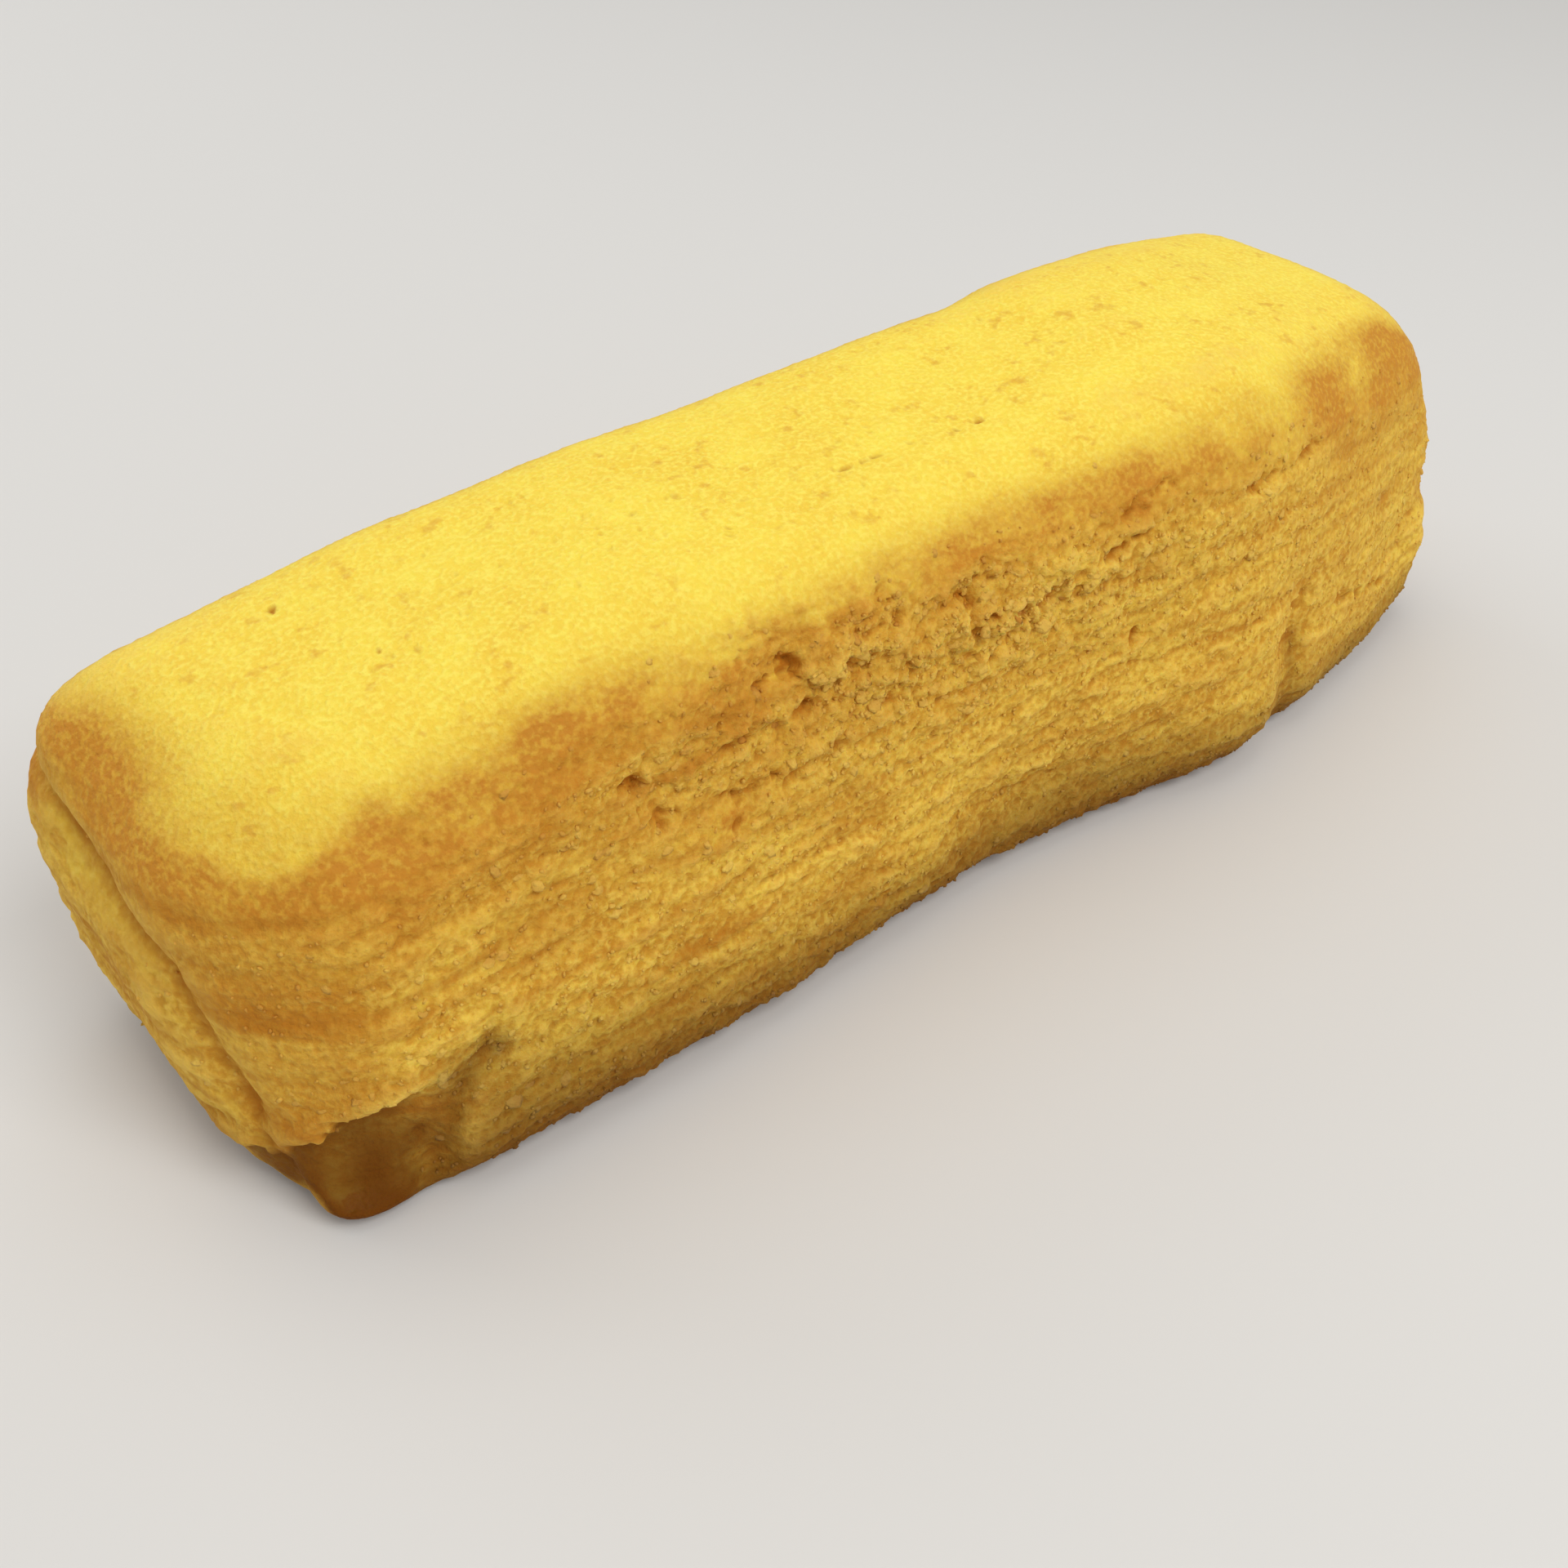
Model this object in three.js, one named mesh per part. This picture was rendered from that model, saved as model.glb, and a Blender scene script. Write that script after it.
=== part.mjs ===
// A stick of baumkuchen: a soft bar of layered cake with a smooth baked top, torn crumb sides and
// rounded ends, lying on its flat underside. Millimetres, +Z up. X runs along the bar, -Y is the
// side with the torn crumb, and the origin is on the resting plane under the middle of the bar.

import * as THREE from 'three';
import { mergeVertices } from 'three/addons/utils/BufferGeometryUtils.js';
import { ImprovedNoise } from 'three/addons/math/ImprovedNoise.js';

const { clamp, lerp, seededRandom, smoothstep } = THREE.MathUtils;

// Plain bar before it is drawn to its cross-sections: length, width and height, and edge radii
const LENGTH = 130;
const THICKNESS = 34;
const TOP_EDGE_RADIUS = 8.4;
const FOOT_EDGE_RADIUS = 5;

// Front corner of the left end, softer than the others seen from above, except at its foot
const SOFT_CORNER_RADIUS = 13.5;

// Five cross-sections from the left end to the right end, each with its height and how far the top
// edge at the front, the foot at the front and the back stand from the middle line
const SECTIONS = [
  { at: -1, height: 32.5, lip: 7.5, foot: 14.5, back: 22 },
  { at: -0.5, height: 37, lip: 11, foot: 16.8, back: 20.5 },
  { at: 0, height: 38.5, lip: 14.5, foot: 17, back: 18.5 },
  { at: 0.4, height: 39.5, lip: 17, foot: 22, back: 17 },
  { at: 1, height: 35, lip: 12, foot: 16.5, back: 17.5 },
];

// Ends: how far each stands from the middle at its top and foot, how far it swells between them,
// and how much further its back reaches than its front at its top and foot
const LEFT_END = { top: 63.5, foot: 63.2, swell: 2, slantTop: 1.9, slantFoot: -0.4 };
const RIGHT_END = { top: 63, foot: 70, swell: 3, slantTop: 0, slantFoot: 0 };

// Surface grid. Two rows make one baked layer, so that a layer is about 3.4 mm thick
const LAYERS = 11;
const CELLS_UP = 2 * LAYERS;
const CELLS_ALONG = 72;
const CELLS_ACROSS = 13;

// Soft unevenness of the whole bar, and ledges between the baked layers, which come and go
const LUMP = { size: 17, height: 0.55 };
const LEDGE = { depth: 0.32, least: 0.65, swing: 0.6, run: 9 };

// Crumb torn out below the top edge of the front: middle of the patch, its reach and its depth
const TORN_PATCH = { x: -14, z: 27, reachX: 30, reachZ: 6, depth: 1.1 };
const TORN_SEED = 4127;

// Larger pits in the crumb of the front
const PITS = [
  { x: -21.5, z: 32, radius: 1.9, depth: 1.1 },
  { x: -20, z: 28.5, radius: 1.6, depth: 0.8 },
  { x: -35.5, z: 29, radius: 1.9, depth: 0.8 },
  { x: -33, z: 25, radius: 1.6, depth: 0.7 },
  { x: -27, z: 23.5, radius: 1.6, depth: 0.7 },
  { x: -4, z: 31, radius: 1.8, depth: 0.8 },
  { x: 0.7, z: 29, radius: 1.6, depth: 0.7 },
  { x: 12.7, z: 22, radius: 1.6, depth: 0.5 },
  { x: -52, z: 30.5, radius: 1.8, depth: 0.6 },
];

// Cake broken away above the foot at the left of the front, under a shelf that falls slowly from
// its right side and then steeply past a bend
const CHIP = {
  right: -53, shelf: 12.6, slope: 0.37, bend: -58.5, fall: 0.45, depth: 2.2, edge: 1.4, foot: 4,
};

// Crumbly ledge low on the front, right of the middle, where the cake below it draws back
const LOW_LEDGE = { from: -10, to: 26, fade: 9, z: 13.5, fall: 0.08, height: 6, depth: 1, edge: 1.8 };

// Upright dent low on the front near the right end
const DENT = { x: 36.5, top: 19, fade: 5, width: 1.7, depth: 1.5 };

// Groove across the left end, which falls slowly from the back and then steeply to the front corner,
// with the cake below it swelling proud
const GROOVE = { z: 20.2, rise: 0.37, fall: 2.3, width: 1.3, depth: 1.1, proud: 0.8, swell: 5 };

// Raised shoulder over the right of the top, from where it starts along and across the bar
const SHOULDER = { from: 19, to: 25, front: -14, back: 4, height: 0.9 };

// Small nub low on the right end, and the back corner of the left end, sharper than the others
const NUB = { x: 64, y: -15, z: 10, radius: 2.6, height: 1.6 };
const SHARP_CORNER = { x: -62.5, y: 17.5, z: 27, radius: 5, height: 1.2 };

const noise = new ImprovedNoise();

// Falls from 1 in the middle to almost nothing two widths away
function bell(distance, width) {
  return Math.exp(-((distance / width) ** 2));
}

// Smooth line through one size of the five cross-sections
function sectionLine(size) {
  const stations = SECTIONS.map((section) => section.at);
  const values = SECTIONS.map((section) => section[size]);
  const line = new THREE.CubicInterpolant(stations, values, 1);
  return (at) => line.evaluate(clamp(at, -1, 1))[0];
}

const heightAt = sectionLine('height');
const lipAt = sectionLine('lip');
const footAt = sectionLine('foot');
const backAt = sectionLine('back');

// How far a point of a cube belongs to the soft corner, from 0 to 1
function softCornerShare(cube) {
  const left = smoothstep(-cube.x, 0.6, 1);
  const front = smoothstep(-cube.y, -0.6, 0.6);
  return left * front * smoothstep(cube.z, -1, -0.3);
}

// Moves a point of a cube onto a box with rounded edges, whose radius grows towards the top, and
// gives its place as shares of the box: along from -1 to 1, across and up from 0 to 1
function roundedShares(cube) {
  const half = new THREE.Vector3(LENGTH / 2, THICKNESS / 2, THICKNESS / 2);
  const upright = lerp(FOOT_EDGE_RADIUS, TOP_EDGE_RADIUS, (cube.z + 1) / 2);
  const level = lerp(upright, SOFT_CORNER_RADIUS, softCornerShare(cube));
  const radii = new THREE.Vector3(level, level, upright);
  const inner = half.clone().sub(radii);
  const point = cube.clone().multiply(half);
  const core = point.clone().clamp(inner.clone().negate(), inner);
  const soft = point.sub(core).divide(radii).setLength(1).multiply(radii).add(core).divide(half);
  return { along: soft.x, across: (soft.y + 1) / 2, up: (soft.z + 1) / 2 };
}

// Distance of an end from the middle of the bar
function endReach(end, across, up) {
  const slant = lerp(end.slantFoot, end.slantTop, up) * (across - 0.5);
  return lerp(end.foot, end.top, up) + 4 * end.swell * up * (1 - up) + slant;
}

// Place on the plain bar: the rounded box drawn out to the five cross-sections
function barPoint({ along, across, up }) {
  const front = -lerp(footAt(along), lipAt(along), up);
  const left = -endReach(LEFT_END, across, up);
  const right = endReach(RIGHT_END, across, up);
  return new THREE.Vector3(
    lerp(left, right, (along + 1) / 2),
    lerp(front, backAt(along), across),
    up * heightAt(along),
  );
}

function lumps(p) {
  return LUMP.height * noise.noise(p.x / LUMP.size, p.y / LUMP.size, p.z / LUMP.size);
}

// Every second row of the sides is drawn in
function layerLedges(p, row) {
  const share = LEDGE.least + LEDGE.swing * noise.noise(p.x / LEDGE.run, p.y / LEDGE.run, row);
  return row % 2 === 1 ? -LEDGE.depth * share : 0;
}

// Ragged hollows from a random draw, and the larger pits
function tornCrumb(p, draw) {
  const across = bell(p.x - TORN_PATCH.x, TORN_PATCH.reachX);
  const up = bell(p.z - TORN_PATCH.z, TORN_PATCH.reachZ);
  const pits = PITS.map((pit) => pit.depth * bell(Math.hypot(p.x - pit.x, p.z - pit.z), pit.radius));
  return -TORN_PATCH.depth * across * up * draw * draw - Math.max(...pits);
}

function chippedFoot(p) {
  const slow = CHIP.slope * Math.max(0, CHIP.right - p.x);
  const steep = CHIP.fall * Math.max(0, CHIP.bend - p.x);
  const rim = CHIP.shelf - slow - steep;
  const under = smoothstep(rim - p.z, 0, CHIP.edge) * smoothstep(p.z, 0, CHIP.foot);
  const beside = smoothstep(CHIP.right - p.x, 0, CHIP.edge);
  return -CHIP.depth * under * beside;
}

function lowLedge(p) {
  const below = LOW_LEDGE.z - LOW_LEDGE.fall * p.x - p.z;
  const starts = smoothstep(p.x - LOW_LEDGE.from, 0, LOW_LEDGE.fade);
  const stops = smoothstep(LOW_LEDGE.to - p.x, 0, LOW_LEDGE.fade);
  const drawn = smoothstep(below, 0, LOW_LEDGE.edge);
  const regained = smoothstep(below, LOW_LEDGE.height, 2 * LOW_LEDGE.height);
  return -LOW_LEDGE.depth * starts * stops * drawn * (1 - regained);
}

function uprightDent(p) {
  return -DENT.depth * bell(p.x - DENT.x, DENT.width) * smoothstep(DENT.top - p.z, 0, DENT.fade);
}

function endGroove(p) {
  const slope = p.y > 0 ? GROOVE.rise : GROOVE.fall;
  const below = (GROOVE.z + slope * p.y - p.z) / Math.hypot(1, slope);
  const proud = GROOVE.proud * smoothstep(below, 0, GROOVE.swell);
  return proud - GROOVE.depth * bell(below, GROOVE.width);
}

function raisedShoulder(p) {
  const along = smoothstep(p.x, SHOULDER.from, SHOULDER.to);
  const across = smoothstep(p.y, SHOULDER.front, SHOULDER.back);
  return SHOULDER.height * along * across;
}

// A rounded bump of a radius and height about a place
function bump(p, { x, y, z, radius, height }) {
  return height * bell(p.distanceTo(new THREE.Vector3(x, y, z)), radius);
}

// How far the surface stands out from the plain bar at a point, by the way it faces there
function relief(p, normal, row, draw) {
  const side = 1 - smoothstep(Math.abs(normal.z), 0.45, 0.85);
  const front = smoothstep(-normal.y, 0.35, 0.75);
  const leftEnd = smoothstep(-normal.x, 0.35, 0.8);
  const top = smoothstep(normal.z, 0.2, 0.7);
  const chip = front * chippedFoot(p);
  const whole = 1 + chip / CHIP.depth;
  return lumps(p)
    + side * whole * layerLedges(p, row)
    + front * (tornCrumb(p, draw) + lowLedge(p) + uprightDent(p))
    + chip
    + leftEnd * whole * endGroove(p)
    + top * raisedShoulder(p)
    + bump(p, NUB)
    + bump(p, SHARP_CORNER);
}

// The bar's surface: a cube's grid rounded, drawn to the cross-sections and given its relief,
// with the underside kept flat
function barGeometry() {
  const cube = new THREE.BoxGeometry(2, 2, 2, CELLS_ALONG, CELLS_ACROSS, CELLS_UP);
  cube.deleteAttribute('normal');
  cube.deleteAttribute('uv');
  const geometry = mergeVertices(cube);
  const position = geometry.attributes.position;
  const rows = [];
  for (let i = 0; i < position.count; i += 1) {
    const corner = new THREE.Vector3().fromBufferAttribute(position, i);
    rows.push(Math.round(((corner.z + 1) / 2) * CELLS_UP));
    position.setXYZ(i, ...barPoint(roundedShares(corner)));
  }
  geometry.computeVertexNormals();
  const facing = geometry.attributes.normal.clone();
  seededRandom(TORN_SEED);
  for (let i = 0; i < position.count; i += 1) {
    const p = new THREE.Vector3().fromBufferAttribute(position, i);
    const normal = new THREE.Vector3().fromBufferAttribute(facing, i);
    const stand = relief(p, normal, rows[i], seededRandom());
    const moved = p.clone().addScaledVector(normal, stand);
    const underside = rows[i] === 0 || moved.z < 0;
    position.setXYZ(i, moved.x, moved.y, underside ? p.z : moved.z);
  }
  geometry.computeVertexNormals();
  geometry.computeBoundingBox();
  return geometry;
}

const spongeCake = new THREE.MeshStandardMaterial({ color: 0xe3b848, roughness: 0.85, metalness: 0 });

const bar = new THREE.Mesh(barGeometry(), spongeCake);
bar.name = 'baumkuchen_stick';
const middle = bar.geometry.boundingBox.getCenter(new THREE.Vector3());
bar.position.set(-middle.x, -middle.y, 0);

const baumkuchen = new THREE.Group();
baumkuchen.add(bar);

export default baumkuchen;
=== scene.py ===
# Looks of a stick of baumkuchen. The CAD bar gets its thin baked layers, torn crumb, pores and browned
# edges as relief and tones, and grains and flakes of crumb lie on its sides. X runs along the bar, the
# torn front faces -Y, and Z is up. Objects are in metres, and the sculpting is worked out in millimetres.

import bmesh
import bpy
import numpy as np
from mathutils import Matrix, Vector, noise


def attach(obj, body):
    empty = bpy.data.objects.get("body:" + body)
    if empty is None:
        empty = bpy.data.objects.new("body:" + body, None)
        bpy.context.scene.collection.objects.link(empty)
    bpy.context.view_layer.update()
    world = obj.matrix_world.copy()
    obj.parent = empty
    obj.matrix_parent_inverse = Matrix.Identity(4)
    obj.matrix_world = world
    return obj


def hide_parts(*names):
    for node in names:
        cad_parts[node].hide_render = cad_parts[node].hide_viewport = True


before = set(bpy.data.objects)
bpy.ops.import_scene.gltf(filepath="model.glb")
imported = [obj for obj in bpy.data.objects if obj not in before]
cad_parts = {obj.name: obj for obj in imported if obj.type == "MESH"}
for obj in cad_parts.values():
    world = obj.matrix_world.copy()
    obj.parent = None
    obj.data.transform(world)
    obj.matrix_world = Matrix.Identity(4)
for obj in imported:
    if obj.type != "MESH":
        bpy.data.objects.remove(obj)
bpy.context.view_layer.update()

MM = 0.001
SEED = 20117

# Corners of the CAD mesh that lie closer than this, in metres, are one corner
MERGE_DISTANCE = 0.001 * MM

# Area of the mesh's cells, in square metres, above which a cell has not been cut yet
COARSE_CELL = 0.3 * MM * MM

# Where the mesh is finest: the front as far as this x, and the top between these two
FINE_FRONT_END = 30
FINE_TOP = (-52, 12)

# Rounds of averaging that ease the facets of the CAD bar, and that tell hollows from crests
EASING_ROUNDS = 3
HOLLOW_ROUNDS = 24

# Height below which the foot stays as flat as the CAD bar's
FLAT_FOOT = 0.2

# Baked layers in the height of the bar, about 2 mm each
LAYERS = 18

# Patches of the front, by their middle and reach: the torn crumb under the top edge, and the flakes along
# the rim of the break
TORN = {"x": -11.0, "z": 28.0, "reach_x": 27.0, "reach_z": 6.5}
RIM_FLAKES = {"x": -57.0, "z": 12.0, "reach_x": 5.0, "reach_z": 1.5}

# Pits in the crumb of the front: x, z, radius, depth
FRONT_PITS = (
    (-14.4, 34.0, 0.9, 0.6),
    (-7.2, 30.8, 1.0, 0.75),
    (-4.8, 28.9, 1.0, 0.75),
    (-1.5, 28.4, 1.1, 0.825),
    (-23.3, 31.0, 1.3, 0.975),
    (-22.1, 27.9, 1.2, 0.975),
    (-37.2, 27.5, 1.1, 0.75),
    (-35.0, 24.0, 1.1, 0.675),
    (-25.8, 23.5, 0.7, 0.525),
    (11.4, 21.1, 0.9, 0.675),
    (-55.0, 26.1, 0.9, 0.525),
    (35.1, 15.5, 2.2, 0.6),
)

# Crevices in the crumb of the front, as x and z of their ends, and short cracks in the top, as x and y
FRONT_CREVICES = (
    ((-26.3, 31.0), (-23.0, 31.3)),
    ((-20.0, 30.7), (-16.7, 29.2)),
    ((-17.3, 31.7), (-13.8, 32.1)),
    ((-30.4, 26.7), (-27.4, 27.3)),
    ((-56.0, 28.0), (-51.5, 29.3)),
    ((-29.0, 22.9), (-29.4, 20.8)),
    ((6.0, 30.2), (10.6, 31.0)),
    ((9.0, 33.2), (15.0, 35.0)),
    ((23.0, 31.3), (34.0, 31.8)),
    ((41.7, 12.8), (54.5, 9.3)),
)
TOP_CRACKS = (
    ((-8.6, -3.0), (-3.2, -3.3)),
    ((-10.2, -2.5), (-8.6, -3.0)),
    ((0.2, -3.9), (3.7, -4.2)),
    ((-35.4, -1.2), (-33.8, -1.6)),
)
TOP_CREASE = ((-58.2, 8.0), (-52.9, 0.0))

# Pores in the top skin: x and y of the clusters and how far a cluster spreads, the area of the pores that
# lie alone, as its least and greatest x and y, and one pore that is wider and deeper than the others
PORE_CLUSTERS = (
    (-30.6, 1.5), (-28.5, 0.6), (-26.0, 3.9), (-24.5, 0.0), (-21.5, 1.2), (-37.0, 6.8),
    (-22.2, -4.2), (-41.4, 3.2), (-12.5, -3.2), (-47.6, 1.4), (-6.0, 2.0),
)
PORES_PER_CLUSTER = 7
CLUSTER_SPREAD = 1.5
LONE_PORES = 26
LONE_PORE_AREA = ((-58, -9), (45, 14))
PORE_RADII = (0.15, 0.38)
PORE_DEPTH = 0.14
DARK_PORE = {"x": -49.9, "y": 11.9, "radius": 0.4, "times_deeper": 3}

# Cake broken away above the foot at the left of the front: x where the break begins, height of its rim
# there, slope of the rim to the left, where and how much more steeply it falls on, and width of its edge
CHIP = {"right": -55.2, "shelf": 12.4, "slope": 0.37, "bend": -60.7, "fall": 0.45, "edge": 0.9}

# Crease beside the break, as x and z from its top down
CHIP_CREASE = ((-51.6, 12.2), (-53.6, 11.0), (-55.0, 8.0), (-56.0, 5.0), (-56.8, 2.2))

# Upright crease in the front, towards its right end, as x and z
SIDE_CREASE = ((35.3, 11.0), (35.6, 7.5), (36.4, 4.0))

# Groove across the left end: y and z of its bend, and its slopes behind and before the bend
GROOVE = {"y": -0.3, "z": 20.2, "rise": 0.37, "fall": 2.3}

# Profiles along the bar, by x: how open the crumb is, how strongly the front's top edge is toasted, how
# much of that toasting is left below the edge, and how high the painted shade on the low front reaches
OPEN_CRUMB = {-60: 0.7, -30: 1.0, 5: 1.0, 35: 0.55}
FRONT_TOAST = {
    -60: 1.3, -42: 1.1, -28: 0.85, -19: 0.75, -12: 1.0, 8: 1.0, 18: 0.75, 28: 0.5, 36: 1.2, 45: 1.3,
}
LOW_TOAST = {-64: 0.5, -52: 0.25, -20: 0.2, 10: 0.1}
LOW_FRONT_SHADE_REACH = {-62: 6, -56: 8, -52: 19, -42: 16, -12: 12, 8: 15, 25: 12, 50: 10}

# Loose crumbs: how many there are, and their radii
GRAINS = 3500
GRAIN_RADIUS = {"usual": 0.15, "spread": 0.25, "least": 0.1, "most": 0.24}
FLAKES = 700
FLAKE_RADIUS = {"usual": 0.36, "spread": 0.35, "least": 0.2, "most": 0.8}

# Any large, unrelated numbers, which give each clump of crumb a chance value of its own
CLUMP_MIX = (127.1, 311.7, 74.7)
CLUMP_SCATTER = 43758.5

# Camera, fitted to the outline of the bar in the photograph: its place, its axes, its focal length and
# picture width in pixels, and its sensor width
EYE = (-83.05, -76.69, 96.97)
VIEW_RIGHT = (0.7505, -0.6605, 0.0265)
VIEW_UP = (0.4189, 0.5062, 0.7539)
VIEW_BACK = (-0.5113, -0.5547, 0.6565)
FOCAL_PIXELS = 1902
FRAME_PIXELS = 1920
SENSOR_WIDTH = 36

# Soft square lamps: name, place and size in metres, power in watts
STUDIO_LAMPS = (
    ("overhead", (0.03, 0.12, 0.55), 0.45, 0.55),
    ("front_fill", (0.04, -0.35, 0.48), 0.3, 1.5),
    ("back_fill", (-0.15, 0.5, 0.3), 0.4, 0.7),
)
SKY_STRENGTH = 0.5

# The nearest thing that the camera shows, and half the width of the floor, in metres
NEAREST_SHOWN = 0.005
FLOOR_HALF_WIDTH = 1.5


def smoothstep(value, start, end):
    """Rises softly from 0 at the start to 1 at the end."""
    share = np.clip((value - start) / (end - start), 0, 1)
    return share * share * (3 - 2 * share)


def bell(distance, width):
    """Falls from 1 in the middle to almost nothing two widths away."""
    return np.exp(-((distance / width) ** 2))


def profile(places, values):
    """Values at the places, from a few values that are given by place."""
    return np.interp(places, list(values), list(values.values()))


def noise_places(points, size, seed):
    """Where to read a noise for points in mm, so that its lumps have a size in mm. Each seed gives another
    part of the noise."""
    return (points / np.asarray(size, float) + np.array([seed, 1.7 * seed, 2.9 * seed])).tolist()


def noise_at(points, size, seed):
    """Smooth noise from about -1 to 1 at points in mm, with lumps of a size in mm along each axis."""
    return np.array([noise.noise(place) for place in noise_places(points, size, seed)])


def clumps(points, size, seed):
    """Clumps of crumb of a size in mm. Gives for each point how far it is from its clump's edge, as a
    share of the size, a chance number from -1 to 1 that is the clump's own, and how far it lies towards
    the low side of its clump."""
    places = noise_places(points, size, seed)
    found = [noise.voronoi(place) for place in places]
    reach = np.array([distances[:2] for distances, _ in found])
    middles = np.array([spots[0][:] for _, spots in found])
    chance = np.sin(middles @ np.array(CLUMP_MIX)) * CLUMP_SCATTER
    from_middle = np.array(places) - middles
    return reach[:, 1] - reach[:, 0], 2 * (chance - np.floor(chance)) - 1, -from_middle[:, 2]


def distance_to_line(u, v, corners):
    """Distance in the plane of u and v from a line through a few corners."""
    nearest = np.full(len(u), np.inf)
    for start, end in zip(np.array(corners[:-1], float), np.array(corners[1:], float)):
        along = end - start
        from_u = u - start[0]
        from_v = v - start[1]
        share = np.clip((from_u * along[0] + from_v * along[1]) / (along @ along), 0, 1)
        nearest = np.minimum(nearest, np.hypot(from_u - share * along[0], from_v - share * along[1]))
    return nearest


def smoothly_subdivided(bar):
    """Mesh of a bmesh after one smooth subdivision."""
    coarse = bpy.data.meshes.new("bar_coarse")
    bar.to_mesh(coarse)
    holder = bpy.data.objects.new("bar_coarse", coarse)
    bpy.context.scene.collection.objects.link(holder)
    smooth = holder.modifiers.new("smooth", "SUBSURF")
    smooth.levels = 1
    smooth.render_levels = 1
    bpy.context.view_layer.update()
    fine = bpy.data.meshes.new_from_object(holder.evaluated_get(bpy.context.evaluated_depsgraph_get()))
    bpy.data.objects.remove(holder)
    bpy.data.meshes.remove(coarse)
    return fine


def cut_finer(bar, faces, cuts):
    """Cuts each edge of some faces a number of times. The edges go in a set order, the same each run."""
    edges = dict.fromkeys(edge for face in faces for edge in face.edges)
    bmesh.ops.subdivide_edges(bar, edges=list(edges), cuts=cuts, use_grid_fill=True)
    bar.normal_update()


def seen_closely(face):
    """Whether a face lies on the torn front or on the middle of the top, which have the finest relief."""
    x = face.calc_center_median().x / MM
    front = face.normal.y < -0.5 and face.normal.z > -0.6 and x < FINE_FRONT_END
    return front or (face.normal.z > 0.75 and FINE_TOP[0] < x < FINE_TOP[1])


def fine_copy(node):
    """A finely meshed copy of a CAD node: doubles merged, triangles paired, smoothly subdivided, and then
    cut finer, most of all where it is seen closely, and not on the back and underside."""
    bar = bmesh.new()
    bar.from_mesh(node.data)
    bmesh.ops.remove_doubles(bar, verts=bar.verts, dist=MERGE_DISTANCE)
    bmesh.ops.join_triangles(
        bar, faces=bar.faces, angle_face_threshold=0.9, angle_shape_threshold=1.2
    )
    fine = smoothly_subdivided(bar)
    bar.clear()
    bar.from_mesh(fine)
    bar.normal_update()
    cut_finer(bar, [face for face in bar.faces if seen_closely(face)], 2)
    whole = [face for face in bar.faces if len(face.verts) == 4 and face.calc_area() > COARSE_CELL]
    cut_finer(bar, [face for face in whole if face.normal.y < 0.6 and face.normal.z > -0.6], 1)
    bmesh.ops.poke(bar, faces=[face for face in bar.faces if len(face.verts) > 4])
    bar.to_mesh(fine)
    bar.free()
    return fine


def vertex_array(mesh, field):
    """A field of three numbers for each vertex, such as its place or its normal."""
    values = np.zeros(len(mesh.vertices) * 3, np.float32)
    mesh.vertices.foreach_get(field, values)
    return values.reshape(-1, 3).astype(float)


def neighbour_mean(mesh, values, rounds):
    """Values at the vertices, averaged with their neighbours for a number of rounds."""
    edges = np.zeros(len(mesh.edges) * 2, np.int32)
    mesh.edges.foreach_get("vertices", edges)
    starts, ends = edges.reshape(-1, 2).T
    here = np.concatenate([starts, ends])
    there = np.concatenate([ends, starts])
    count = np.bincount(here, minlength=len(values))
    for _ in range(rounds):
        columns = [np.bincount(here, weights=column[there], minlength=len(values)) for column in values.T]
        values = 0.5 * values + 0.5 * np.stack(columns, 1) / count[:, None]
    return values


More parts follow.
